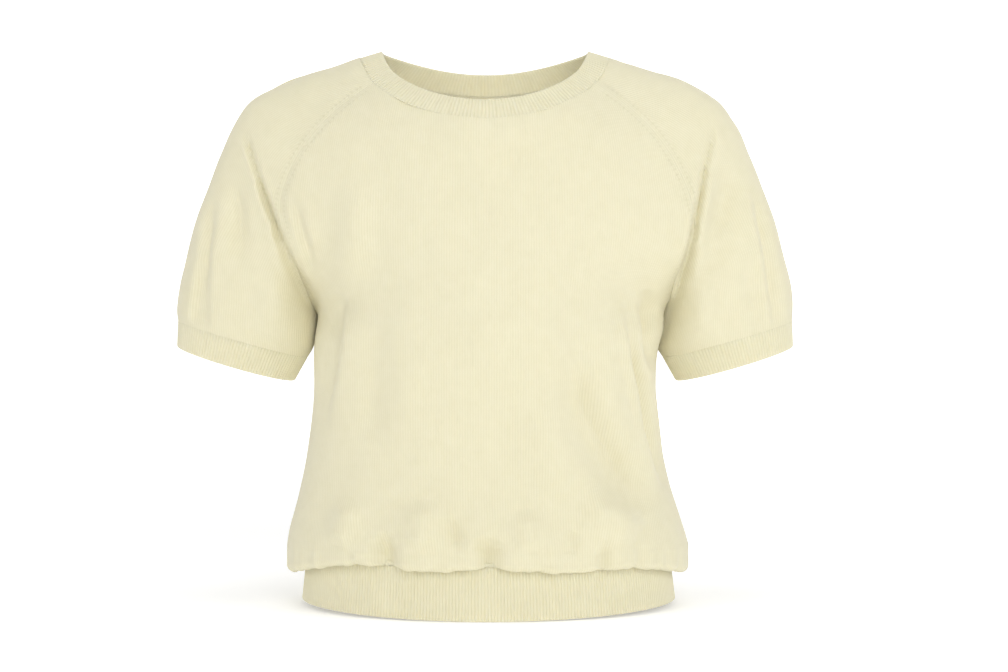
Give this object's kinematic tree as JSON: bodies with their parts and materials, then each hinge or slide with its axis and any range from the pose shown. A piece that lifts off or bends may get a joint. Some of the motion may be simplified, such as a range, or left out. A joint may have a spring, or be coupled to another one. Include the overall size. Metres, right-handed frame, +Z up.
{
  "type": "short-sleeve jumper",
  "caption": "Short-sleeve fine-knit jumper in its worn form: crew neck, raglan sleeves, ribbed cuffs, and a body that blouses over a ribbed hem band.",
  "frame": {"origin": "on the jumper's centre line where the wearer's shoulders carry it, 20 mm below the high shoulder points", "axes": "+X to the wearer's left, +Y to the back, +Z up"},
  "size_m": [0.587, 0.2435, 0.5241],
  "materials": {
    "plain_knit": "matt fine-gauge plain knit, pale lemon cream",
    "ribbed_knit": "matt fine rib knit, pale lemon cream"
  },
  "bodies": {
    "root": {"front": "plain_knit", "back": "plain_knit", "sleeve_left": "plain_knit", "sleeve_right": "plain_knit", "neck_band": "ribbed_knit", "hem_band": "ribbed_knit", "cuff_left": "ribbed_knit", "cuff_right": "ribbed_knit"}
  },
  "joints": []
}
